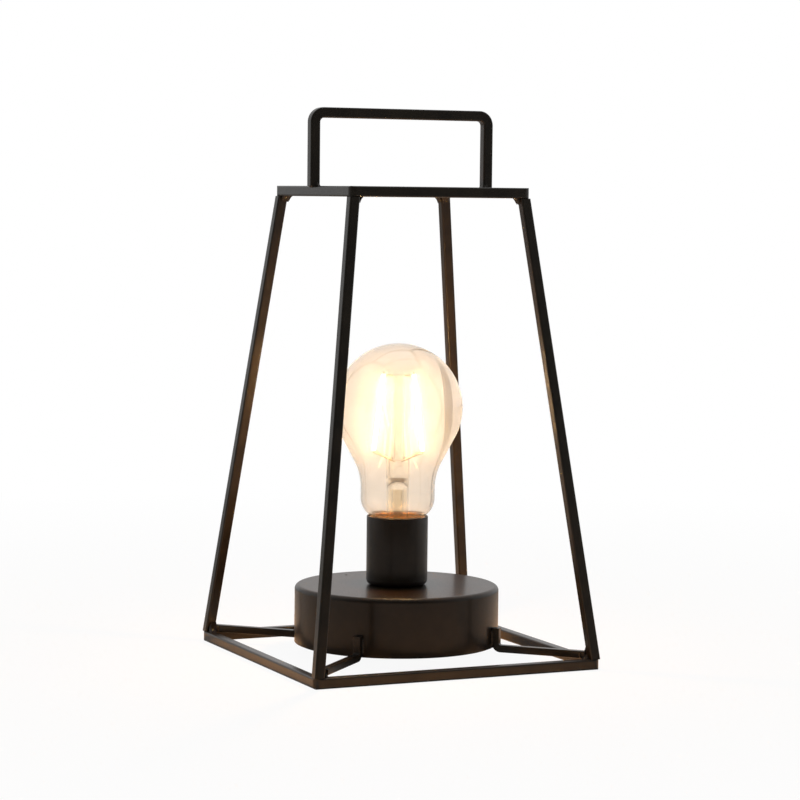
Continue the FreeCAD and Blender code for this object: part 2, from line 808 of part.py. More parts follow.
def straight_wire(name, radius, plane, start, end, turn):
    """A round wire from start to end, points as (reach, height), turned about Z."""
    offset, across = (start[1], start[0]) if plane == "XY_Plane" else (start[0], start[1])

    def section(body):
        centre = (across, 0) if plane == "XY_Plane" else (0, across)
        return draw_ring(new_sketch(body, plane, offset), radius, *centre)

    def path(body):
        return draw(new_sketch(body, "XZ_Plane"), [start, end], closed=False)

    return place(bent_bar(name, section, path), turn=turn)


def filament_turns():
    """Directions of the four filaments, two pairs on opposite sides."""
    for opposite in (0, 180):
        for side in (-1, 1):
            yield D.filament_turn + opposite + side * D.filament_fan


def filaments():
    """Four LED filaments that lean in towards the top, and the wires that hold them."""
    high, low = cap_top + D.filament_high, cap_top + D.filament_low
    top, foot = D.filament_top / 2, D.filament_foot / 2
    wire = D.support_wire / 2
    strips, wires = [], []
    for turn in filament_turns():
        strips.append(straight_wire(
            "Filament", D.filament / 2, "XY_Plane", (foot, low), (top, high), turn))
        wires.append(straight_wire(
            "LowerWire", wire, "YZ_Plane", (D.press_sheet / 2, press_high + wire),
            (foot, low - D.fit_gap - wire), turn))
        wires.append(straight_wire(
            "UpperWire", wire, "YZ_Plane", (D.stem_bead / 2 + D.fit_gap, stem_high),
            (top - D.filament / 2 - D.fit_gap, stem_high), turn))
    node(group("Filaments", strips), "led_filaments")
    node(group("Wires", wires), "support_wires")


bulb_cap()
cap_insulator()
cap_tip()
bulb_glass()
bulb_stem()
filaments()


# ---------------------------------------------------------------- battery tray

CELLS = ["cell_left", "cell_middle", "cell_right"]

tray_low = D.drum_lift - D.tray_drop
tray_high = tray_low + D.tray_floor
rim_high = tray_low + D.tray_rim
tray_radius = drum_radius - D.drum_sheet - D.tray_play
rim_inside = tray_radius - D.tray_wall

door_high = tray_low + D.door_sheet
groove_low = tray_low + D.door_ledge
groove_high = door_high + D.door_play
cell_pitch = D.cell_diameter + D.cell_play
cell_axis = groove_high + D.cell_play + D.cell_diameter / 2
bay_half = cell_pitch * (len(CELLS) / 2) + D.cell_play / 2
bay_middle = -D.door_travel / 2
bay_reach = (D.cell_length + D.cell_nub) / 2 + D.contact_room
bay_front, bay_back = bay_middle - bay_reach, bay_middle + bay_reach
bay_high = cell_axis + D.cell_diameter / 2 + D.cell_play

door_half = bay_half + D.door_lap
door_front, door_back = bay_front - D.door_lap, bay_back + D.door_lap
tab_places = [bay_middle - bay_reach / 2, bay_middle + bay_reach / 2]

board_near = -(bay_half + D.tray_wall + D.board_room)
board_far = board_near - D.board_width
board_low = tray_high + D.board_rise
board_high = board_low + D.board_sheet
lug_places = [(D.lug_reach * cosine(size(angle)), D.lug_reach * sine(size(angle)))
              for angle in (45, 135, 225, 315)]
screw_seat = tray_low + D.screw_sink + D.screw_head_height


def battery_tray():
    """Moulded tray: floor, rim, cell bay, screw bosses, board ribs and door recess."""
    solid = [
        rod("Floor", tray_radius, D.tray_floor, z=tray_low),
        cut("Rim", rod("RimOutside", tray_radius, D.tray_rim, z=tray_low),
            rod("RimInside", rim_inside, D.tray_rim, z=tray_low)),
        block("Bay", -bay_half - D.tray_wall, bay_half + D.tray_wall,
              bay_front - D.tray_wall, bay_back + D.tray_wall,
              tray_low, bay_high + D.tray_wall),
    ]
    for side in (-1, 1):
        edge = side * (D.board_length - D.tray_wall) / 2
        solid.append(block("Rib", board_far, board_near, edge - D.tray_wall / 2,
                           edge + D.tray_wall / 2, tray_low, board_low))
    for x, y in lug_places:
        solid.append(rod("Boss", D.boss_diameter / 2, D.tray_rim, x, y, tray_low))

    slide_front = door_front - D.door_play
    slide_back = door_back + D.door_travel + D.door_play
    narrow = door_half + D.door_play
    wide = narrow + D.door_tab
    knob_room = D.knob_length / 2 + D.switch_travel + D.knob_play
    knob_side = D.knob_width / 2 + D.knob_play
    hollow = [
        block("BayRoom", -bay_half, bay_half, bay_front, bay_back, tray_low, bay_high),
        block("DoorRoom", -narrow, narrow, slide_front, slide_back, tray_low, groove_high),
        block("Grooves", -wide, wide, slide_front, slide_back, groove_low, groove_high),
        block("KnobSlot", D.switch_reach - knob_side, D.switch_reach + knob_side,
              -knob_room, knob_room, tray_low, tray_high),
    ]
    reach = D.tab_length / 2 + D.door_play
    for y in tab_places:
        freed = y + D.door_travel
        hollow.append(block("Notch", -wide, wide, freed - reach, freed + reach,
                            tray_low, groove_high))
    for x, y in lug_places:
        hollow.append(rod("HeadRoom", D.screw_head / 2 + D.door_play,
                          screw_seat - tray_low, x, y, tray_low))
        hollow.append(rod("ShankRoom", D.screw_shank / 2 + D.fit_gap,
                          D.tray_rim, x, y, tray_low))
    return node(cut("Tray", fuse("TraySolid", solid), fuse("TrayHollow", hollow)),
                "battery_tray")


def battery_door():
    """Sliding door: plate, two tabs a side that the ledges carry, finger grip."""
    solid = [block("DoorPlate", -door_half, door_half, door_front, door_back,
                   tray_low, door_high)]
    for y in tab_places:
        solid.append(block("Tabs", -door_half - D.door_tab, door_half + D.door_tab,
                           y - D.tab_length / 2, y + D.tab_length / 2,
                           groove_low + D.door_play, door_high))
    grip_back = door_back - D.grip_length
    grip = block("Grip", -D.grip_width / 2, D.grip_width / 2,
                 grip_back - D.grip_length, grip_back, tray_low, tray_low + D.grip_depth)
    return node(cut("Door", fuse("DoorSolid", solid), grip), "battery_door")


def cell(label, number):
    """One cell with its nub; every other cell lies the other way round."""
    radius, nub = D.cell_diameter / 2, D.cell_nub_width / 2
    end = D.cell_length / 2
    body = revolved("Cell", [
        (0, -end), (radius, -end), (radius, end), (nub, end),
        (nub, end + D.cell_nub), (0, end + D.cell_nub),
    ], plane="XY_Plane")
    flipped = number % 2
    shift = D.cell_nub / 2 if flipped else -D.cell_nub / 2
    place(body, cell_x(number), bay_middle + shift, cell_axis, turn=180 * flipped)
    return node(body, label)


def cell_x(number):
    return cell_pitch * (number - (len(CELLS) - 1) / 2)


def contact(name, number, back):
    """A bent leaf: a plate on the bay's wall, sprung out to the end of a cell."""
    sheet_metal, room = D.contact_sheet, D.contact_room
    half, flat = D.contact_width / 2, D.contact_flat / 2
    wall, way = (bay_back, -1) if back else (bay_front, 1)
    outline = [
        (0, -half), (sheet_metal, -half), (sheet_metal, half - sheet_metal),
        (room - sheet_metal, flat), (room - sheet_metal, -flat), (room, -flat),
        (room, flat), (2 * sheet_metal, half), (0, half),
    ]
    body = new_body(name)
    leaf = draw(new_sketch(body, "YZ_Plane"),
                [(wall + way * u, cell_axis + v) for u, v in outline])
    pad(body, leaf, D.contact_width, midplane=True)
    return place(body, x=cell_x(number))


def contacts():
    """A cell's nub meets a positive contact, its flat end a negative one."""
    positive, negative = [], []
    for number in range(len(CELLS)):
        nub_at_back = number % 2 == 0
        positive.append(contact("Positive", number, nub_at_back))
        negative.append(contact("Negative", number, not nub_at_back))
    node(group("PositiveContacts", positive), "positive_contacts")
    node(group("NegativeContacts", negative), "negative_contacts")


def slide_switch():
    """Switch housing on the tray's floor, its knob standing out through the slot."""
    x, play = D.switch_reach, D.knob_play
    width, length = D.knob_width / 2, D.knob_length / 2
    foot_x, foot_y = width + D.knob_flange, length + D.knob_flange
    foot_low = tray_high + play
    foot_high = foot_low + D.knob_foot
    housing = block("Housing", x - D.switch_width / 2, x + D.switch_width / 2,
                    -D.switch_length / 2, D.switch_length / 2,
                    tray_high, tray_high + D.switch_height)
    room_y = foot_y + D.switch_travel + play
    room = block("KnobRoom", x - foot_x - play, x + foot_x + play, -room_y, room_y,
                 tray_high, foot_high + play)
    node(cut("Switch", housing, room), "slide_switch_body")
    stem = block("KnobStem", x - width, x + width, -length, length,
                 tray_low - D.knob_stand, foot_high)
    foot = block("KnobFoot", x - foot_x, x + foot_x, -foot_y, foot_y, foot_low, foot_high)
    node(fuse("Knob", [stem, foot]), "switch_knob")


def timer_board():
    board = block("Board", board_far, board_near, -D.board_length / 2,
                  D.board_length / 2, board_low, board_high)
    return node(board, "timer_board")


def bent_lead(label, y, end):
    """A lead from the board over the cell bay and up the nipple, then to its end."""
    bend, radius = D.lead_bend, D.lead / 2
    start = (board_far + board_near) / 2
    level = bay_high + D.tray_wall + radius + D.fit_gap

    def section(body):
        return draw_ring(new_sketch(body, "XY_Plane", board_high), radius, start, 0)

    def path(body):
        return draw(new_sketch(body, "XZ_Plane"), [
            (start, board_high), (start, level - bend), (start + bend, level, -bend),
            (-bend, level), (0, level + bend, bend), (0, end)], closed=False)

    return node(place(bent_bar(label, section, path), y=y), label)


def mounting_lugs():
    """Four angle lugs spot-welded inside the drum; the tray screws bite in them."""
    inside = drum_radius - D.drum_sheet
    half = D.lug_width / 2
    outer = root(inside * inside - half * half) - D.fit_gap
    inner = D.lug_reach - D.lug_edge
    low = rim_high + D.fit_gap
    lugs = []
    for quarter in range(4):
        body = new_body("Lug")
        angle = draw(new_sketch(body, "XZ_Plane"), [
            (inner, low), (outer, low), (outer, low + D.lug_height),
            (outer - D.lug_sheet, low + D.lug_height),
            (outer - D.lug_sheet, low + D.lug_sheet), (inner, low + D.lug_sheet),
        ])
        pad(body, angle, D.lug_width, midplane=True)
        bore = draw_ring(new_sketch(body, "XY_Plane", low),
                         D.screw_shank / 2 + D.fit_gap, D.lug_reach, 0)
        pocket(body, bore, D.lug_sheet)
        lugs.append(place(body, turn=45 + 90 * quarter))
    return node(group("Lugs", lugs), "mounting_lugs")


def tray_screws():
    """Four cross-recessed screws up through the tray's bosses."""
    low = tray_low + D.screw_sink
    head, shank = D.screw_head / 2, D.screw_shank / 2
    arm, slot = D.screw_cross / 2, D.screw_slot / 2
    screws = []
    for x, y in lug_places:
        body = revolved("Screw", [
            (0, low), (head, low), (head, screw_seat), (shank, screw_seat),
            (shank, screw_seat + D.screw_length), (0, screw_seat + D.screw_length),
        ])
        cross = draw(new_sketch(body, "XY_Plane", low), [
            (-arm, -slot), (-slot, -slot), (-slot, -arm), (slot, -arm), (slot, -slot),
            (arm, -slot), (arm, slot), (slot, slot), (slot, arm), (-slot, arm),
            (-slot, slot), (-arm, slot),
        ])
        pocket(body, cross, D.screw_recess)
        screws.append(place(body, x, y))
    return node(group("Screws", screws), "tray_screws")


battery_tray()
battery_door()
for number, label in enumerate(CELLS):
    cell(label, number)
contacts()
slide_switch()
timer_board()
bent_lead("red_lead", D.lead_spread / 2, holder_top + D.tongue_rise)
bent_lead("black_lead", -D.lead_spread / 2, holder_top)
mounting_lugs()
tray_screws()


# ---------------------------------------------------------------- checks and files

doc.recompute()
broken = [part.Name for part in doc.Objects
          if "Invalid" in part.State or "Error" in part.State]
if broken:
    raise RuntimeError("failed objects: " + ", ".join(broken))
for part in NODES:
    if part.Shape.isNull() or not part.Shape.isValid():
        raise RuntimeError("bad shape: " + part.Label)
for part in NODES:
    part.Shape.exportStep("parts/%s.step" % part.Label)
    print("%-20s %d solids %10.1f mm3" % (part.Label, len(part.Shape.Solids), part.Shape.Volume))
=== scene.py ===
"""Lantern table lamp, dressed: its finishes, the lit bulb, the welds, camera and light.

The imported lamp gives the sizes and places. X runs along the front of the lamp, Y goes to
its back and Z is up. Shapes are worked out in millimetres and put into meshes in metres.
"""

import math

import bmesh
import bpy
import numpy as np
from mathutils import Matrix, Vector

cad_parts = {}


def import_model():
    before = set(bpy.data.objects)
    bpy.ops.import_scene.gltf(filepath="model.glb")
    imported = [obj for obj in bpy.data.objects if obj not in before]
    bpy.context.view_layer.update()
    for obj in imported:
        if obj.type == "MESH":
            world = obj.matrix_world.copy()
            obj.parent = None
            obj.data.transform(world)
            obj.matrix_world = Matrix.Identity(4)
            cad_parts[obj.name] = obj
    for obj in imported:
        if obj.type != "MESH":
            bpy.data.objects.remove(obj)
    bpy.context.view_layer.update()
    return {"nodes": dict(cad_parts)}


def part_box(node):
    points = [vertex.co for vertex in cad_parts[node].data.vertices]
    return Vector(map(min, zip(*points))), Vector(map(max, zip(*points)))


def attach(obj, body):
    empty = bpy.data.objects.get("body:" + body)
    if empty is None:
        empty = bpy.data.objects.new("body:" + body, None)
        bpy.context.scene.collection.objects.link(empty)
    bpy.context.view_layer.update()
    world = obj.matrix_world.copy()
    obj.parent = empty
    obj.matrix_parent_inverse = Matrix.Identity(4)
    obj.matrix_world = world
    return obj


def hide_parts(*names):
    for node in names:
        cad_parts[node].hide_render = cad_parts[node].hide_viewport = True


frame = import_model()

MM = 0.001
MERGE = 1e-6
CREASE = 40
UP =np.array([0.0, 0.0, 1.0])


# ---------------------------------------------------------------- sizes from the frame

def extent(node):
    """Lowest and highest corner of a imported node, in millimetres."""
    low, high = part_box(node)
    return np.array(low) / MM, np.array(high) / MM


BASE_LOW, BASE_HIGH = extent("base_rail_front")
TOP_LOW, TOP_HIGH = extent("top_rail_front")
HANDLE_HIGH = extent("carry_handle")[1]
DRUM_HIGH = extent("drum_shell")[1]
STRUT_HIGH = extent("strut_front_right")[1]
CUP_LOW, CUP_HIGH = extent("socket_cup")
SHELL_LOW, SHELL_HIGH = extent("lampholder_shell")
CAP_LOW, CAP_HIGH = extent("bulb_cap")
GLASS_LOW, GLASS_HIGH = extent("bulb_glass")

BAR = BASE_HIGH[2] - BASE_LOW[2]
FOOT = BASE_HIGH[0] - BAR / 2
HEAD = TOP_HIGH[0] - BAR / 2
LEAN = (FOOT - HEAD) / (TOP_LOW[2] - BASE_HIGH[2])
CAP_TOP = CAP_HIGH[2]


# ---------------------------------------------------------------- shapes

def arc(centre, radius, start, end, steps):
    """Points of an arc: centre plus radius times cosine and sine of even angles, degrees."""
    angle = np.radians(np.linspace(start, end, steps))
    return np.stack([centre[0] + radius * np.cos(angle),
                     centre[1] + radius * np.sin(angle)], -1)


def outline(*pieces):
    """One outline from points and arcs in their order."""
    return np.vstack([np.atleast_2d(np.asarray(piece, float)) for piece in pieces])


def turned(profile, around):
    """Rings of a turned surface: each (radius, height) of the profile carried round Z."""
    angle = np.linspace(0, 2 * np.pi, around, endpoint=False)
    radius, height = profile[:, :1], profile[:, 1:]
    return np.stack([radius * np.cos(angle), radius * np.sin(angle),
                     height + 0 * angle], -1)


def oval(across, through, around, power):
    """Points of a superellipse: signed powers of cosine and sine times the half widths."""
    angle = np.linspace(0, 2 * np.pi, around, endpoint=False)
    c, s = np.cos(angle), np.sin(angle)
    return np.stack([across * np.sign(c) * np.abs(c) ** (2 / power),
                     through * np.sign(s) * np.abs(s) ** (2 / power)], -1)


def carried(path, section, upright, size=None):
    """Rings of a section carried along a path.

    The section's first coordinate lies along upright crossed with the path's direction,
    its second along that direction crossed with the first. size scales each ring.
    """
    ahead = np.gradient(path, axis=0)
    ahead /= np.linalg.norm(ahead, axis=1, keepdims=True)
    side = np.cross(upright, ahead)
    side /= np.linalg.norm(side, axis=1, keepdims=True)
    over = np.cross(ahead, side)
    size = np.ones(len(path)) if size is None else size
    spread = section[None, :, :1] * side[:, None] + section[None, :, 1:] * over[:, None]
    return path[:, None] + size[:, None, None] * spread


def capped(rings):
    """The rings with both ends closed to their middles."""
    first = np.broadcast_to(rings[0].mean(0), rings[:1].shape)
    last = np.broadcast_to(rings[-1].mean(0), rings[:1].shape)
    return np.concatenate([first, rings, last])


def piece(name, grids, body, finish, joined=False, outwards=False):
    """One mesh piece from one or more grids of rings, grid[ring, around].

    Each ring closes on itself, neighbouring rings are joined by quads, and joined also
    joins the last ring to the first. Points that coincide are merged, so a ring with no
    radius becomes a pole. outwards turns the faces of closed solids outwards. Edges that
    turn by more than CREASE degrees stay sharp.
    """
    points, quads, count = [], [], 0
    for grid in grids:
        rings, around, _ = grid.shape
        number = np.arange(rings * around).reshape(rings, around) + count
        if joined:
            number = np.vstack([number, number[:1]])
        low, high = number[:-1], number[1:]
        quads.append(np.stack([low, np.roll(low, -1, 1), np.roll(high, -1, 1), high],
                              -1).reshape(-1, 4))
        points.append(grid.reshape(-1, 3) * MM)
        count += rings * around
    mesh = bpy.data.meshes.new(name)
    mesh.from_pydata(np.vstack(points).tolist(), [], np.vstack(quads).tolist())
    work = bmesh.new()
    work.from_mesh(mesh)
    bmesh.ops.remove_doubles(work, verts=work.verts, dist=MERGE)
    if outwards:
        bmesh.ops.recalc_face_normals(work, faces=work.faces)
    work.to_mesh(mesh)
    work.free()
    mesh.shade_smooth()
    mesh.set_sharp_from_angle(angle=math.radians(CREASE))
    mesh.materials.append(finish)
    made = bpy.data.objects.new(name, mesh)
    bpy.context.scene.collection.objects.link(made)
    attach(made, body)
    return made


# ---------------------------------------------------------------- materials

def linear(code):
    """An sRGB hex colour as linear red, green, blue and alpha."""
    parts = [int(code[i:i + 2], 16) / 255 for i in (1, 3, 5)]
    return [p / 12.92 if p <= 0.04045 else ((p + 0.055) / 1.055) ** 2.4 for p in parts] + [1.0]


def add(tree, kind, links=None, **settings):
    """Adds one shader node: settings are its properties or inputs, links feed its inputs."""
    made = tree.nodes.new("ShaderNode" + kind)
    for name, value in settings.items():
        if hasattr(made, name):
            setattr(made, name, value)
        else:
            made.inputs[name.replace("_", " ")].default_value = value
    for name, source in (links or {}).items():
        tree.links.new(source, made.inputs[name])
    return made


def material(name):
    """A new material and its empty node tree."""
    made = bpy.data.materials.new(name)
    made.use_nodes = True
    made.node_tree.nodes.clear()
    return made, made.node_tree


def output(tree, shader):
    """Ends a material with its shader."""
    tree.links.new(shader, add(tree, "OutputMaterial").inputs["Surface"])


def object_place(tree):
    """The shaded point's own place in the lamp's frame."""
    return add(tree, "TexCoord").outputs["Object"]


def noise(tree, grain, **settings):
    """Cloudy noise whose blotches are about grain millimetres wide."""
    return add(tree, "TexNoise", {"Vector": object_place(tree)},
               Scale=1 / (grain * MM), **settings).outputs["Fac"]


def spread(tree, source, low, high, start=0.3, end=0.7):
    """Brings a pattern's middle range to low..high."""
    return add(tree, "MapRange", {"Value": source}, From_Min=start, From_Max=end,
               To_Min=low, To_Max=high).outputs["Result"]


def two_tone(tree, factor, first, second):
    """Two colours mixed by a pattern."""
    mixed = add(tree, "Mix", data_type="RGBA")
    tree.links.new(factor, mixed.inputs["Factor"])
    mixed.inputs[6].default_value = linear(first)
    mixed.inputs[7].default_value = linear(second)
    return mixed.outputs[2]


def relief(tree, height, depth):
    """A bump whose height pattern stands for depth millimetres."""
    return add(tree, "Bump", {"Height": height}, Distance=depth * MM,
               Strength=1.0).outputs["Normal"]


def bronze_lacquer(name, dark, light, gloss, peel):
    """Dark bronze stoving lacquer sprayed on steel.

    Metal flake gives its dark brown body a little shine, the baked clear film a satin
    gloss that pales along the edges, and the spray leaves faint orange peel and cloudy
    patches where it went on thicker.
    """
    made, tree = material(name)
    cloud = noise(tree, 14, Detail=3.0, Roughness=0.55)
    flake = noise(tree, 0.35, Detail=2.0)
    tone = two_tone(tree, spread(tree, cloud, 0, 1), dark, light)
    skin = relief(tree, noise(tree, 1.6, Detail=1.0), peel)
    body = add(tree, "BsdfPrincipled", {
        "Base Color": tone,
        "Roughness": spread(tree, flake, gloss - 0.05, gloss + 0.07),
        "Normal": skin,
    }, Metallic=0.35, Specular_IOR_Level=0.15, Coat_Weight=0.35, Coat_Roughness=0.18)
    output(tree, body.outputs[0])
    return made


def rolled_brass(name, tone, shade, gloss):
    """Thin drawn brass: bright and warm, with faint marks that run round it."""
    made, tree = material(name)
    stretched = add(tree, "Mapping", {"Vector": object_place(tree)}, Scale=(0.15, 0.15, 3.0))
    marks = add(tree, "TexNoise", {"Vector": stretched.outputs[0]}, Scale=1 / (1.2 * MM),
                Detail=3.0).outputs["Fac"]
    body = add(tree, "BsdfPrincipled", {
        "Base Color": two_tone(tree, spread(tree, marks, 0, 1), tone, shade),
        "Roughness": spread(tree, marks, gloss - 0.05, gloss + 0.08),
    }, Metallic=1.0)
    output(tree, body.outputs[0])
    return made


def plated_steel(name, tone, gloss):
    """Zinc or nickel plated steel: cool grey metal, a little cloudy from the bath."""
    made, tree = material(name)
    cloud = noise(tree, 2.5, Detail=3.0)
    body = add(tree, "BsdfPrincipled", {
        "Base Color": two_tone(tree, spread(tree, cloud, 0, 1), tone, "#8F8C84"),
        "Roughness": spread(tree, cloud, gloss - 0.05, gloss + 0.1),
    }, Metallic=1.0)
    output(tree, body.outputs[0])
    return made


def moulded_plastic(name, tone, worn, gloss, grain=0.4):
    """Injection moulded plastic: one body colour under a fine spark-eroded texture."""
    made, tree = material(name)
    spark = noise(tree, grain, Detail=2.0)
    cloud = noise(tree, 9, Detail=2.0)
    body = add(tree, "BsdfPrincipled", {
        "Base Color": two_tone(tree, spread(tree, cloud, 0, 1), tone, worn),
        "Roughness": spread(tree, spark, gloss - 0.06, gloss + 0.06),
        "Normal": relief(tree, spark, 0.015),
    }, IOR=1.53)
    output(tree, body.outputs[0])
    return made


def lets_lamps_through(tree, shader, tint):
    """Glass as the eye sees it, but clear to rays from lamps, so that they reach inside."""
    ray = add(tree, "LightPath").outputs["Is Shadow Ray"]
    clear = add(tree, "BsdfTransparent", Color=linear(tint)).outputs[0]
    mixed = add(tree, "MixShader", {"Fac": ray})
    tree.links.new(shader, mixed.inputs[1])
    tree.links.new(clear, mixed.inputs[2])
    return mixed.outputs[0]


def blown_glass():
    """Blown soda-lime glass with the faintest amber film and hand marks.

    The film tints what is seen through both walls cream, and it scatters a little, so
    that the lit filaments have a halo.
    """
    made, tree = material("blown_soda_lime_glass")
    smear = noise(tree, 7, Detail=4.0, Roughness=0.6)
    clear = add(tree, "BsdfPrincipled", Base_Color=linear("#FAF1E7"), Roughness=0.0,
                IOR=1.46, Transmission_Weight=1.0)
    haze = add(tree, "BsdfPrincipled", Base_Color=linear("#F8EAD8"), Roughness=0.42,
               IOR=1.46, Transmission_Weight=1.0)
    film = add(tree, "MixShader", {"Fac": spread(tree, smear, 0.15, 0.19)})
    tree.links.new(clear.outputs[0], film.inputs[1])
    tree.links.new(haze.outputs[0], film.inputs[2])
    output(tree, lets_lamps_through(tree, film.outputs[0], "#FFF6E8"))
    return made


def stem_glass():
    """Drawn lead glass of the stem: clear and faintly warm, streaked along its length."""
    made, tree = material("drawn_stem_glass")
    draw_lines = add(tree, "Mapping", {"Vector": object_place(tree)}, Scale=(3.0, 3.0, 0.2))
    streak = add(tree, "TexNoise", {"Vector": draw_lines.outputs[0]}, Scale=1 / (1.5 * MM),
                 Detail=2.0).outputs["Fac"]
    glass = add(tree, "BsdfPrincipled", {"Normal": relief(tree, streak, 0.03)},
                Base_Color=linear("#FFFAF0"), Roughness=0.08, IOR=1.55,
                Transmission_Weight=1.0)
    output(tree, lets_lamps_through(tree, glass.outputs[0], "#FBFBF2"))
    return made


def lit_phosphor():
    """Silicone filled with yellow phosphor, lit from inside: white hot to the eye."""
    made, tree = material("lit_phosphor_silicone")
    gel = noise(tree, 1.1, Detail=1.0)
    body = add(tree, "BsdfPrincipled", {
        "Base Color": two_tone(tree, gel, "#F2C04A", "#FFE08A"),
        "Normal": relief(tree, gel, 0.05),
    }, Roughness=0.4, IOR=1.41, Emission_Color=linear("#FFDBA4"), Emission_Strength=80.0)
    output(tree, body.outputs[0])
    return made


def black_glass():
    """Opaque black glass fused into the cap: deep black with a wet gloss."""
    made, tree = material("fused_black_glass")
    body = add(tree, "BsdfPrincipled", {
        "Base Color": two_tone(tree, noise(tree, 3, Detail=2.0), "#0B0B0D", "#17171A"),
        "Roughness": spread(tree, noise(tree, 1.5, Detail=2.0), 0.08, 0.2),
    }, IOR=1.52)
    output(tree, body.outputs[0])
    return made


def steatite():
    """Cream steatite of the lampholder, fired unglazed: matt, with tiny dark specks."""
    made, tree = material("fired_steatite")
    specks = noise(tree, 0.5, Detail=2.0)
    body = add(tree, "BsdfPrincipled", {
        "Base Color": two_tone(tree, spread(tree, specks, 0, 1, 0.62, 0.72),
                               "#E6DFCF", "#A89C86"),
        "Normal": relief(tree, specks, 0.02),
    }, Roughness=0.55, IOR=1.55)
    output(tree, body.outputs[0])
    return made


def cell_sleeve():
    """Shrunk plastic sleeve of a cell between its bare steel ends, told apart by Y."""
    made, tree = material("shrunk_cell_sleeve")
    low, high = extent("cell_middle")
    middle, half = (low[1] + high[1]) / 2, (high[1] - low[1]) / 2
    y = add(tree, "SeparateXYZ", {"Vector": object_place(tree)}).outputs["Y"]
    from_middle = add(tree, "Math", operation="SUBTRACT")
    tree.links.new(y, from_middle.inputs[0])
    from_middle.inputs[1].default_value = middle * MM
    distance = add(tree, "Math", operation="ABSOLUTE")
    tree.links.new(from_middle.outputs[0], distance.inputs[0])
    bare_end, band_end, edge = 2.4, 14.2, 0.2
    bare, band = (spread(tree, distance.outputs[0], 0, 1, start * MM, (start + edge) * MM)
                  for start in (half - bare_end, half - band_end))
    sleeve = two_tone(tree, band, "#2E5E4A", "#C9B27A")
    tone = add(tree, "Mix", data_type="RGBA")
    tree.links.new(bare, tone.inputs["Factor"])
    tree.links.new(sleeve, tone.inputs[6])
    tone.inputs[7].default_value = linear("#B9B6AE")
    body = add(tree, "BsdfPrincipled", {
        "Base Color": tone.outputs[2], "Metallic": bare,
        "Roughness": spread(tree, noise(tree, 2, Detail=2.0), 0.25, 0.4),
    })
    output(tree, body.outputs[0])
    return made


def board_laminate():
    """Glass-fibre circuit board under green solder mask, its weave just showing."""
    made, tree = material("solder_mask_laminate")
    weave = add(tree, "TexWave", {"Vector": object_place(tree)}, Scale=1 / (2.0 * MM),
                Distortion=1.0).outputs["Fac"]
    body = add(tree, "BsdfPrincipled", {
        "Base Color": two_tone(tree, weave, "#0F4A2C", "#155A38"),
        "Normal": relief(tree, weave, 0.01),
    }, Roughness=0.35)
    output(tree, body.outputs[0])
    return made


LACQUER = bronze_lacquer("bronze_lacquer_on_bar", "#191612", "#27221B", 0.36, 0.03)
DRUM_LACQUER = bronze_lacquer("bronze_lacquer_on_sheet", "#15110C", "#201912", 0.42, 0.02)
CUP_LACQUER = bronze_lacquer("bronze_lacquer_on_cup", "#181410", "#241D16", 0.42, 0.02)
BRASS = rolled_brass("drawn_brass", "#E9A62A", "#C9831C", 0.25)
ZINC = plated_steel("zinc_plated_steel", "#C6C4BC", 0.34)
NICKEL = plated_steel("nickel_plated_spring", "#D8D4C8", 0.22)
WIRE = plated_steel("nickel_wire", "#9C968A", 0.3)
SOLDER = plated_steel("tin_solder", "#BDBBB5", 0.4)
GLASS = blown_glass()
STEM_GLASS = stem_glass()
PHOSPHOR = lit_phosphor()
BLACK_GLASS = black_glass()
STEATITE = steatite()
BLACK_PLASTIC = moulded_plastic("moulded_black_abs", "#1B1B1C", "#242425", 0.5)
KNOB_PLASTIC = moulded_plastic("moulded_black_knob", "#141415", "#1E1E20", 0.38, 0.25)
SLEEVE = cell_sleeve()
LAMINATE = board_laminate()
RED_SHEATH = moulded_plastic("red_pvc_sheath", "#A31E1A", "#B52A22", 0.4, 0.8)
BLACK_SHEATH = moulded_plastic("black_pvc_sheath", "#171717", "#202020", 0.4, 0.8)

QUARTERS = ["front_left", "front_right", "back_left", "back_right"]
SIDES = ["front", "right", "back", "left"]

CAGE_NODES = (["base_rail_" + side for side in SIDES] + ["top_rail_" + side for side in SIDES]
              + ["leg_" + quarter for quarter in QUARTERS]
              + ["strut_" + quarter for quarter in QUARTERS] + ["carry_handle"])

FINISHES = [
    (LACQUER, CAGE_NODES),
    (DRUM_LACQUER, ["drum_shell"]),
    (CUP_LACQUER, ["socket_cup"]),
    (ZINC, ["nipple", "nipple_nut", "nipple_washer", "mounting_lugs", "tray_screws"]),
    (STEATITE, ["lampholder_base"]),
    (BRASS, ["centre_contact"]),
    (NICKEL, ["positive_contacts", "negative_contacts"]),
    (SOLDER, ["cap_tip"]),
    (BLACK_GLASS, ["cap_insulator"]),
    (WIRE, ["support_wires"]),
    (BLACK_PLASTIC, ["battery_tray", "battery_door", "slide_switch_body"]),
    (KNOB_PLASTIC, ["switch_knob"]),
    (SLEEVE, ["cell_left", "cell_middle", "cell_right"]),
    (LAMINATE, ["timer_board"]),
    (RED_SHEATH, ["red_lead"]),
    (BLACK_SHEATH, ["black_lead"]),
]


def paint_nodes():
    """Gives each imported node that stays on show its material."""
    for finish, names in FINISHES:
        for name in names:
            mesh = frame["nodes"][name].data
            mesh.materials.clear()
            mesh.materials.append(finish)


# ---------------------------------------------------------------- welds

WELD_PITCH = 1.1
WELD_RIPPLE = 0.12
WELD_SINK = 0.08
# A weld stops this far short of a bar's edges, and of the ring's outer edge.
WELD_SHORT = 0.4
EDGE_SHORT = 0.3
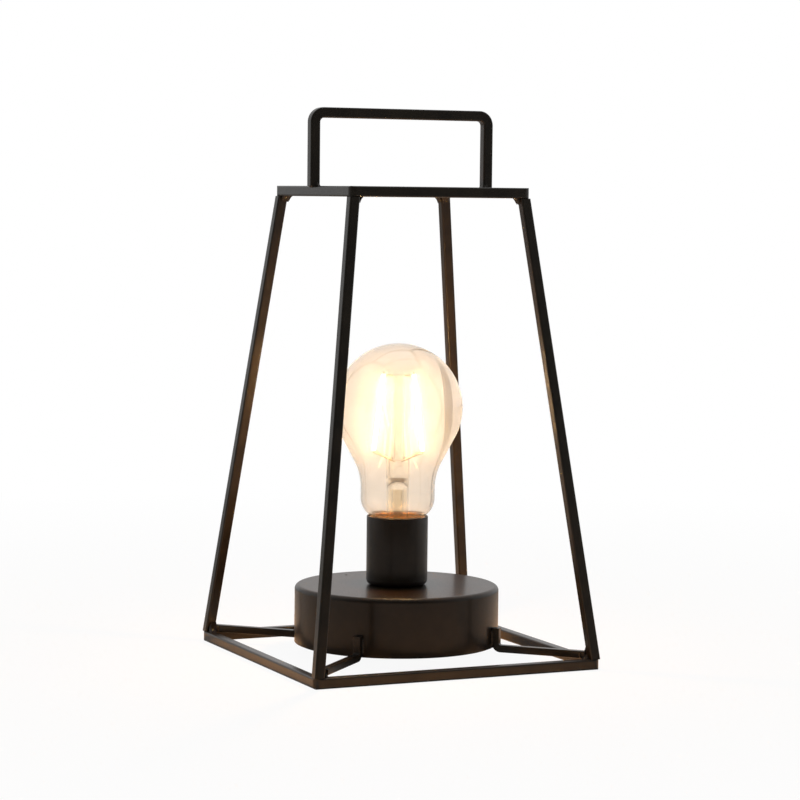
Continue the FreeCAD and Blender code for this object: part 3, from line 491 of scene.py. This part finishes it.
# Reaches of a weld: along the first face, then along the second.
HEAD_REACH = (1.5, 2.6)
FRONT_FOOT_REACH = (2.0, 2.2)
SIDE_FOOT_REACH = (2.8, 4.4)
HANDLE_REACH = (1.4, 1.6)
HANDLE_INNER_REACH = (0.6, 0.9)
OVERHANG_SHORT = 0.1
OVERHANG_DROP = 1.8
# Struts: the bead on the drum's wall, and the one in the bottom ring's corner.
STRUT = 3.4
DRUM_SINK = 0.1
DRUM_BEAD_RISE = 3.2
DRUM_BEAD_DROP = 1.2
DRUM_BEAD_REACH = (0.9, 0.8)
RING_BEAD_SHORT = 1.2
RING_BEAD_RISE = 0.2
RING_BEAD_LENGTH = 2.8
RING_BEAD_REACH = (0.7, 0.9)


def fillet(start, end, first, second, reach, rings=22):
    """Rings of a weld that fills a corner from start to end.

    first and second point along the two faces. The section runs from the corner up one
    face by reach, back to the other in a curve half way between its chord and a hollow
    quarter circle. Ripples a weld pitch apart run along it, and its ends taper.
    """
    start, end, first, second = (np.asarray(v, float) for v in (start, end, first, second))
    length = np.linalg.norm(end - start)
    along = np.linspace(0, 1, rings)
    turn = np.radians(np.linspace(0, 90, 7))
    hollow = np.stack([1 - np.sin(turn), 1 - np.cos(turn)], -1)
    chord = np.stack([1 - turn / turn[-1], turn / turn[-1]], -1)
    curve = (hollow + chord) / 2
    taper = 0.5 + 0.5 * np.sqrt(np.clip(1 - np.abs(2 * along - 1) ** 4, 0, 1))
    ripple = 1 + WELD_RIPPLE * np.cos(2 * np.pi * along * length / WELD_PITCH)
    size = (taper * ripple)[:, None, None]
    up_first = curve[None, :, :1] * reach[0] * size
    up_second = curve[None, :, 1:] * reach[1] * size
    path = start + (end - start) * along[:, None]
    skin = path[:, None] + up_first * first + up_second * second
    corner = (path - WELD_SINK * (first + second))[:, None]
    foot = skin[:, :1] - WELD_SINK * second
    toe = skin[:, -1:] - WELD_SINK * first
    return capped(np.concatenate([corner, foot, skin, toe], 1))


def corners():
    """The four legs' quarters as signs of X and Y."""
    return [(x, y) for x in (-1, 1) for y in (-1, 1)]


def leg_welds():
    """Fillets where each leg meets the rings: two under the top ring, two on the bottom."""
    heads, feet = [], []
    for x, y in corners():
        inner, outer = HEAD - BAR / 2, HEAD + BAR / 2
        down = np.array([x * LEAN, y * LEAN, -1.0])
        low, high = inner + WELD_SHORT, outer - WELD_SHORT
        z = TOP_LOW[2]
        heads.append(fillet([x * inner, y * low, z], [x * inner, y * high, z],
                            [-x, 0, 0], down, HEAD_REACH))
        heads.append(fillet([x * low, y * inner, z], [x * high, y * inner, z],
                            [0, -y, 0], down, HEAD_REACH))
        inner, outer = FOOT - BAR / 2, FOOT + BAR / 2
        low, high = inner + WELD_SHORT, outer - WELD_SHORT
        z = BASE_HIGH[2]
        feet.append(fillet([x * inner, y * low, z], [x * inner, y * high, z],
                           [-x, 0, 0], -down, FRONT_FOOT_REACH))
        feet.append(fillet([x * low, y * inner, z], [x * high, y * inner, z],
                           [0, -y, 0], -down, SIDE_FOOT_REACH))
    piece("leg_head_welds", heads, "frame", LACQUER, outwards=True)
    piece("leg_foot_welds", feet, "frame", LACQUER, outwards=True)


def handle_welds():
    """Fillets round the handle's feet: along the rails and under the overhang."""
    grids = []
    top, out = TOP_HIGH[2], TOP_HIGH[0]
    half = BAR / 2
    foot_in, foot_out = HANDLE_HIGH[0] - BAR, HANDLE_HIGH[0]
    for x in (-1, 1):
        for y in (-1, 1):
            grids.append(fillet([x * (foot_in + WELD_SHORT), y * half, top],
                                [x * (out - EDGE_SHORT), y * half, top],
                                [0, y, 0], UP, HANDLE_REACH))
        grids.append(fillet([x * foot_in, -half + WELD_SHORT, top],
                            [x * foot_in, half - WELD_SHORT, top],
                            [-x, 0, 0], UP, HANDLE_INNER_REACH))
        grids.append(fillet([x * out, -half + EDGE_SHORT, top],
                            [x * out, half - EDGE_SHORT, top],
                            [x, 0, 0], -UP, (foot_out - out - OVERHANG_SHORT, OVERHANG_DROP)))
    piece("handle_welds", grids, "frame", LACQUER, outwards=True)


def strut_welds():
    """Beads where each strut meets the bottom ring's corner and the drum's wall."""
    wall = DRUM_HIGH[0] - DRUM_SINK
    corner = (BASE_HIGH[0] - BAR) * math.sqrt(2) - RING_BEAD_SHORT
    grids = []
    for x, y in corners():
        out = np.array([x, y, 0]) / math.sqrt(2)
        side = np.array([-y, x, 0]) / math.sqrt(2)
        for way in (-1, 1):
            start = out * wall + way * side * STRUT / 2
            base = start + UP * (BASE_HIGH[2] + DRUM_BEAD_RISE)
            tip = start + UP * (STRUT_HIGH[2] - DRUM_BEAD_DROP)
            grids.append(fillet(base, tip, way * side, out, DRUM_BEAD_REACH, rings=30))
        for way in (-1, 1):
            start = out * corner + way * side * STRUT / 2
            base = start + UP * (BASE_HIGH[2] + RING_BEAD_RISE)
            tip = base + UP * RING_BEAD_LENGTH
            grids.append(fillet(base, tip, way * side, -out, RING_BEAD_REACH))
    piece("strut_welds", grids, "frame", LACQUER, outwards=True)


# ---------------------------------------------------------------- socket

THREAD_PITCH = 3.63
THREAD_ROUND = 140
CUP_SHEET = 0.6
CUP_EDGE = 2.6
CUP_BORE = 5.0
SHELL_WALL = 0.3
SHELL_DEPTH = 0.28
SHELL_BORE = 8.5
SHELL_PLAIN_FOOT = 2
SHELL_PLAIN_LIP = 1


def threaded(profile, depth, first, last):
    """Rings of a turned surface with a round right-hand thread.

    Between the heights first and last the radius gains depth times the cosine of height
    over pitch less the turn, faded in and out over half a pitch.
    """
    rings = turned(profile, THREAD_ROUND)
    angle = np.linspace(0, 2 * np.pi, THREAD_ROUND, endpoint=False)[None]
    height = profile[:, 1:]
    fade = np.clip(np.minimum(height - first, last - height) / (THREAD_PITCH / 2), 0, 1)
    wave = depth * fade * np.cos(2 * np.pi * height / THREAD_PITCH - angle)
    rings[..., 0] += wave * np.cos(angle)
    rings[..., 1] += wave * np.sin(angle)
    return rings


def socket_cup():
    """The cup with its rolled lip and rounded foot, a sheet turned round Z."""
    radius = CUP_HIGH[0]
    low, high = CUP_LOW[2], CUP_HIGH[2]
    foot = (radius - CUP_EDGE, low + CUP_EDGE)
    lip = CUP_SHEET / 2
    profile = outline(
        [CUP_BORE, low], arc(foot, CUP_EDGE, -90, 0, 12),
        arc((radius - lip, high - lip), lip, 0, 180, 9),
        arc(foot, CUP_EDGE - CUP_SHEET, 0, -90, 12), [CUP_BORE, low + CUP_SHEET])
    made = piece("cup_sleeve", [turned(profile, 160)], "frame", CUP_LACQUER, joined=True)
    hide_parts("socket_cup")


def screw_shell():
    """The lampholder's brass shell with its rolled thread, floor and flared mouth."""
    low, high = SHELL_LOW[2], SHELL_HIGH[2]
    mouth = SHELL_HIGH[0]
    radius = mouth - SHELL_DEPTH
    thread_low, thread_high = low + SHELL_PLAIN_FOOT, high - SHELL_PLAIN_LIP
    heights = np.linspace(thread_low, thread_high, 120)
    outer = np.stack([np.full_like(heights, radius), heights], -1)
    inner = outer[::-1] - [SHELL_WALL, 0]
    profile = outline([SHELL_BORE, low], [radius, low], outer, [mouth, high],
                      [mouth - SHELL_WALL, high], inner,
                      [radius - SHELL_WALL, low + SHELL_WALL], [SHELL_BORE, low + SHELL_WALL])
    rings = threaded(profile, SHELL_DEPTH, thread_low, thread_high)
    made = piece("screw_shell", [rings], "frame", BRASS, joined=True)
    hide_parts("lampholder_shell")


# ---------------------------------------------------------------- bulb

BULB_WALL = 0.7
NECK_RADIUS = 17.35
NECK_LOW = 9.1
NECK_HIGH = 13.6
NECK_TUCK = 10.0
GLOBE_ANGLE = 28.0
SEAL_RADIUS = 11.75


def envelope_outline(inset):
    """The bulb's outline from seal to crown, inset by a wall.

    A straight seal, an arc under the neck, the straight neck, a hollow arc that is
    tangent to neck and globe, and the globe.
    """
    globe = GLASS_HIGH[0]
    centre = GLASS_HIGH[2] - globe
    low, high = CAP_TOP + NECK_LOW, CAP_TOP + NECK_HIGH
    along, across = math.cos(math.radians(GLOBE_ANGLE)), math.sin(math.radians(GLOBE_ANGLE))
    hollow = (NECK_RADIUS * along + (centre - high) * across - globe) / (1 - along)
    tuck = NECK_TUCK - inset
    start = -math.degrees(math.acos((SEAL_RADIUS - inset - NECK_RADIUS + NECK_TUCK) / tuck))
    return outline(
        [SEAL_RADIUS - inset, GLASS_LOW[2]],
        arc((NECK_RADIUS - NECK_TUCK, low), tuck, start, 0, 18),
        arc((NECK_RADIUS + hollow, high), hollow + inset, 180, 180 - GLOBE_ANGLE, 16),
        arc((0, centre), globe - inset, -GLOBE_ANGLE, 90, 56)[1:])


def bulb_envelope():
    """The glass bulb: its outline and the same outline one wall further in, turned."""
    profile = outline(envelope_outline(0), envelope_outline(BULB_WALL)[::-1])
    made = piece("bulb_envelope", [turned(profile, 192)], "bulb", GLASS, joined=True)
    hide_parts("bulb_glass")


STEM_TUBE = 5.15
STEM_ROD = 3.35
STEM_WALL = 0.8
STEM_HIGH = 67.0
STEM_DOME = 1.0
FLARE_GAP = 0.1
EXHAUST_RADIUS = 2.9
EXHAUST_BORE = 2.2
EXHAUST_RISE = 2
PRESS_LOW = 19.3
PRESS_HIGH = 26.7
PRESS_EASE = 6.0
PRESS_CLOSE = 1.5
PRESS_ACROSS = 5.45
PRESS_THROUGH = 1.8
PRESS_TURN = -24.5
BEAD_RADIUS = 3.5
BEAD_HEIGHT = 3.6
BEAD_EDGE = 1.0


def bulb_stem():
    """The glass stem: flare, tube pinched flat, rod and bead.

    The outside is an oval whose two half widths follow the height: a flare that runs
    into the tube, the tube eased into the flat pinch, the pinch closing on the rod, and
    a bead with rounded edges round the rod's top.
    """
    flare = SEAL_RADIUS - BULB_WALL - FLARE_GAP
    low = GLASS_LOW[2]
    bend = flare - STEM_TUBE
    base = arc((STEM_TUBE + bend, low + bend), bend, -90, -180, 16)
    press_low, press_high = CAP_TOP + PRESS_LOW, CAP_TOP + PRESS_HIGH
    tube_top, rod_low = press_low - PRESS_EASE, press_high + PRESS_CLOSE
    top = CAP_TOP + STEM_HIGH
    bead_low, bead_flat = top - BEAD_HEIGHT, BEAD_RADIUS - BEAD_EDGE
    height = np.concatenate([
        base[:, 1], np.linspace(low + bend, tube_top, 6)[1:],
        np.linspace(tube_top, press_low, 14)[1:], np.linspace(press_low, press_high, 5)[1:],
        np.linspace(press_high, rod_low, 8)[1:], np.linspace(rod_low, bead_low, 12)[1:]])
    tube = np.interp(height, base[:, 1], base[:, 0])
    flat = smooth(height, tube_top, press_low)
    close = smooth(height, press_high, rod_low)
    across = (tube + (PRESS_ACROSS - tube) * flat) * (1 - close) + STEM_ROD * close
    through = (tube + (PRESS_THROUGH - tube) * flat) * (1 - close) + STEM_ROD * close
    bead = outline(arc((bead_flat, bead_low + BEAD_EDGE), BEAD_EDGE, -60, 0, 6),
                   arc((bead_flat, top - BEAD_EDGE), BEAD_EDGE, 0, 90, 8), [0, top])
    across = np.append(across, bead[:, 0])
    through = np.append(through, bead[:, 0])
    height = np.append(height, bead[:, 1])
    angle = np.linspace(0, 2 * np.pi, 96, endpoint=False)
    turn = math.radians(PRESS_TURN)
    x = across[:, None] * np.cos(angle)
    y = through[:, None] * np.sin(angle)
    outside = np.stack([x * math.cos(turn) - y * math.sin(turn),
                        x * math.sin(turn) + y * math.cos(turn),
                        height[:, None] + 0 * angle], -1)
    inner_height = np.append(base[:, 1], np.linspace(low + bend, tube_top, 6)[1:])
    inner_radius = np.append(base[:, 0], np.full(5, STEM_TUBE)) - STEM_WALL
    inner_height[0] = low
    inside = turned(np.stack([np.append(inner_radius, 0),
                              np.append(inner_height, tube_top + STEM_DOME)], -1)[::-1], 96)
    made = piece("stem_and_flare", [np.concatenate([inside, outside])], "bulb", STEM_GLASS)
    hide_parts("bulb_stem")
    pipe_low = low + EXHAUST_RISE
    exhaust = turned(outline([EXHAUST_RADIUS, tube_top], [EXHAUST_RADIUS, pipe_low],
                             [EXHAUST_BORE, pipe_low], [EXHAUST_BORE, tube_top])[::-1], 64)
    pipe = piece("exhaust_tube", [exhaust], "bulb", STEM_GLASS, joined=True)


def smooth(value, start, end):
    """An even step from 0 at start to 1 at end, level at both."""
    share = np.clip((value - start) / (end - start), 0, 1)
    return share * share * (3 - 2 * share)


FILAMENT_WIDTH = 0.95
FILAMENT_DEPTH = 0.75
FILAMENT_TURN = -24.5
FILAMENT_FAN = 25.0
FILAMENT_ROUND = 0.9
FILAMENT_TOP = 7.8
FILAMENT_FOOT = 12.6
FILAMENT_TOP_RISE = 67.4
FILAMENT_FOOT_RISE = 31.4
TAB_LENGTH = 1.5
TAB_WIDTH = 0.62
TAB_DEPTH = 0.34


def filament_ends():
    """Foot and top of each filament, and the way it faces, outwards."""
    low, high = CAP_TOP + FILAMENT_FOOT_RISE, CAP_TOP + FILAMENT_TOP_RISE
    for opposite in (0, 180):
        for side in (-1, 1):
            turn = math.radians(FILAMENT_TURN + opposite + side * FILAMENT_FAN)
            out = np.array([math.cos(turn), math.sin(turn), 0])
            yield out * FILAMENT_FOOT + UP * low, out * FILAMENT_TOP + UP * high, out


def filaments():
    """Four silicone strips, rounded at both ends, with a metal tab at each end."""
    strips, tabs = [], []
    for foot, top, out in filament_ends():
        along = np.linspace(0, 1, 60)[:, None]
        path = foot + (top - foot) * along
        end = np.minimum(along, 1 - along)[:, 0] * np.linalg.norm(top - foot)
        share = np.clip(end / FILAMENT_ROUND, 0, 1)
        size = np.sqrt(np.clip(1 - (1 - share) ** 2, 0.02, 1))
        strips.append(capped(carried(path, oval(FILAMENT_WIDTH, FILAMENT_DEPTH, 20, 2.6),
                                     -out, size)))
        ahead = (top - foot) / np.linalg.norm(top - foot)
        for point, way in ((foot, 1), (top, -1)):
            run = point + way * ahead * np.linspace(-TAB_LENGTH / 2, TAB_LENGTH, 6)[:, None]
            tabs.append(capped(carried(run, oval(TAB_WIDTH, TAB_DEPTH, 12, 4.0), -out)))
    made = piece("filament_strips", strips, "bulb", PHOSPHOR)
    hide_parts("led_filaments")
    ends = piece("filament_tabs", tabs, "bulb", WIRE)


CAP_DEPTH = 0.4
CAP_SHEET = 0.4
CAP_BORE = 8.4
CAP_TAPER = 1.6
CAP_PLAIN_FOOT = 3.2
CAP_PLAIN_LIP = 1.3
CAP_LIP = 0.5
CAP_WALL = 1.1
CAP_CURL = 0.6


def screw_cap():
    """The bulb's brass cap: shoulder, rolled thread, collar, and its inner wall."""
    low, high = CAP_LOW[2], CAP_HIGH[2]
    crest = CAP_HIGH[0]
    middle, lip, wall = crest - CAP_DEPTH, crest - CAP_LIP, crest - CAP_WALL
    thread_low, thread_high = low + CAP_PLAIN_FOOT, high - CAP_PLAIN_LIP
    heights = np.linspace(thread_low, thread_high, 110)
    thread = np.stack([np.full_like(heights, middle), heights], -1)
    profile = outline([CAP_BORE, low], [middle - CAP_TAPER, low + CAP_SHEET], thread,
                      [crest, thread_high + CAP_SHEET], [crest, high], [lip, high],
                      [wall, high - CAP_CURL], [wall, thread_low], [CAP_BORE, low + CAP_SHEET])
    made = piece("screw_cap", [threaded(profile, CAP_DEPTH, thread_low, thread_high)], "bulb",
                 BRASS, joined=True)
    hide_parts("bulb_cap")


# ---------------------------------------------------------------- stage, light, camera

CAMERA_PLACE = (-519.896, -1139.389, 215.709)
CAMERA_TURN = -24.557
CAMERA_DOWN = 4.35
CAMERA_ROLL = 0.615
CAMERA_LENS = 120.61
SENSOR = 36.0
# In metres: the point that the soft lamps face, and the table top's half width and drop.
LAMP_MIDDLE = np.array([0, 0, 0.12])
TABLE_HALF = 2.5
TABLE_DROP = 0.0002
# The side of the studio that reflections show darkest.
DARK_SIDE = (-0.42, -0.9, 0.1)


def camera():
    """A long lens a little above the bulb, off the lamp's front left corner."""
    turn, down, roll = (math.radians(v) for v in (CAMERA_TURN, CAMERA_DOWN, CAMERA_ROLL))
    ahead = np.array([-math.sin(turn) * math.cos(down), math.cos(turn) * math.cos(down),
                      -math.sin(down)])
    level = np.array([math.cos(turn), math.sin(turn), 0])
    above = np.cross(level, ahead)
    right = math.cos(roll) * level + math.sin(roll) * above
    upright = math.cos(roll) * above - math.sin(roll) * level
    lens = bpy.data.cameras.new("camera")
    lens.sensor_width = SENSOR
    lens.lens = CAMERA_LENS
    lens.clip_start, lens.clip_end = 0.05, 50
    made = bpy.data.objects.new("camera", lens)
    turned_to = Matrix([right, upright, -ahead]).transposed().to_4x4()
    made.matrix_world = Matrix.Translation(np.array(CAMERA_PLACE) * MM) @ turned_to
    bpy.context.scene.collection.objects.link(made)
    bpy.context.scene.camera = made


def softbox(name, place, size, power):
    """A square soft lamp of white light that faces the middle of the lantern.

    It is hidden from reflections, which show the studio instead.
    """
    lamp = bpy.data.lights.new(name, "AREA")
    lamp.shape = "SQUARE"
    lamp.size = size
    lamp.energy = power
    made = bpy.data.objects.new(name, lamp)
    bpy.context.scene.collection.objects.link(made)
    place = np.array(place)
    back = place - LAMP_MIDDLE
    back /= np.linalg.norm(back)
    side = np.cross(UP, back)
    side /= np.linalg.norm(side)
    over = np.cross(back, side)
    turned_to = Matrix([side, over, back]).transposed().to_4x4()
    made.matrix_world = Matrix.Translation(place) @ turned_to
    made.visible_glossy = False


def bulb_light():
    """The light that the filaments throw on the cage, as one warm lamp between them."""
    lamp = bpy.data.lights.new("bulb_light", "POINT")
    lamp.energy = 1.2
    lamp.color = linear("#FFB964")[:3]
    lamp.shadow_soft_size = 8 * MM
    made = bpy.data.objects.new("bulb_light", lamp)
    bpy.context.scene.collection.objects.link(made)
    made.location = (0, 0, (GLASS_HIGH[2] - GLASS_HIGH[0]) * MM)
    made.visible_camera = False
    made.visible_glossy = False
    made.visible_transmission = False
    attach(made, "bulb")


def world():
    """The studio: white to the eye and through glass, and soft grey as light.

    Reflections show it pale behind the lamp and darker towards its front left, so that
    the lacquer stays dark on the faces that look that way.
    """
    made = bpy.data.worlds.new("studio")
    made.use_nodes = True
    tree = made.node_tree
    tree.nodes.clear()
    path = add(tree, "LightPath")
    seen = add(tree, "Math", operation="MAXIMUM")
    tree.links.new(path.outputs["Is Camera Ray"], seen.inputs[0])
    tree.links.new(path.outputs["Is Transmission Ray"], seen.inputs[1])
    direction = add(tree, "VectorMath", {"Vector": add(tree, "TexCoord").outputs["Generated"]},
                    operation="DOT_PRODUCT")
    direction.inputs[1].default_value = DARK_SIDE
    front = add(tree, "MapRange", {"Value": direction.outputs["Value"]}, From_Min=-0.1,
                From_Max=0.75, To_Min=0.8, To_Max=0.1)
    glossy = add(tree, "Math", operation="MULTIPLY")
    tree.links.new(path.outputs["Is Glossy Ray"], glossy.inputs[0])
    tree.links.new(front.outputs["Result"], glossy.inputs[1])
    bright = add(tree, "Math", operation="MAXIMUM")
    tree.links.new(seen.outputs[0], bright.inputs[0])
    tree.links.new(glossy.outputs[0], bright.inputs[1])
    level = add(tree, "Math", operation="MAXIMUM")
    tree.links.new(bright.outputs[0], level.inputs[0])
    level.inputs[1].default_value = 0.12
    sky = add(tree, "Background", {"Strength": level.outputs[0]}, Color=linear("#FFFFFF"))
    tree.links.new(sky.outputs[0], add(tree, "OutputWorld").inputs["Surface"])
    bpy.context.scene.world = made


def floor():
    """A pale table top that shows near white and keeps the lamp's soft shadow.

    It fades to full white away from the lamp, and is clear when looked at from beneath.
    """
    made, tree = material("pale_table_top")
    path = add(tree, "LightPath")
    seen = add(tree, "Math", operation="MAXIMUM")
    tree.links.new(path.outputs["Is Camera Ray"], seen.inputs[0])
    tree.links.new(path.outputs["Is Transmission Ray"], seen.inputs[1])
    away = add(tree, "VectorMath", {"Vector": object_place(tree)}, operation="LENGTH")
    white_share = add(tree, "MapRange", {"Value": away.outputs["Value"]}, From_Min=0.15,
                      From_Max=0.7, To_Min=0.93, To_Max=1.0)
    share = add(tree, "Math", operation="MULTIPLY")
    tree.links.new(seen.outputs[0], share.inputs[0])
    tree.links.new(white_share.outputs["Result"], share.inputs[1])
    matt = add(tree, "BsdfDiffuse", Color=linear("#F4F2EE"))
    white = add(tree, "Emission", Color=linear("#FFFFFF"), Strength=1.0)
    mixed = add(tree, "MixShader", {"Fac": share.outputs[0]})
    tree.links.new(matt.outputs[0], mixed.inputs[1])
    tree.links.new(white.outputs[0], mixed.inputs[2])
    beneath = add(tree, "NewGeometry").outputs["Backfacing"]
    one_sided = add(tree, "MixShader", {"Fac": beneath})
    tree.links.new(mixed.outputs[0], one_sided.inputs[1])
    tree.links.new(add(tree, "BsdfTransparent").outputs[0], one_sided.inputs[2])
    output(tree, one_sided.outputs[0])
    half = TABLE_HALF
    mesh = bpy.data.meshes.new("table_top")
    mesh.from_pydata([(-half, -half, 0), (half, -half, 0), (half, half, 0), (-half, half, 0)],
                     [], [(0, 1, 2, 3)])
    mesh.materials.append(made)
    top = bpy.data.objects.new("table_top", mesh)
    top.location = (0, 0, -TABLE_DROP)
    bpy.context.scene.collection.objects.link(top)


# ---------------------------------------------------------------- the scene

paint_nodes()
leg_welds()
handle_welds()
strut_welds()
socket_cup()
screw_shell()
bulb_envelope()
bulb_stem()
filaments()
screw_cap()
camera()
softbox("key_softbox", (-1.3, -1.0, 1.3), 1.2, 12)
softbox("fill_softbox", (1.5, -0.7, 0.7), 1.2, 6)
softbox("top_softbox", (0.1, 0.5, 1.8), 1.4, 7)
bulb_light()
world()
floor()
bpy.context.scene.view_settings.view_transform = "Standard"
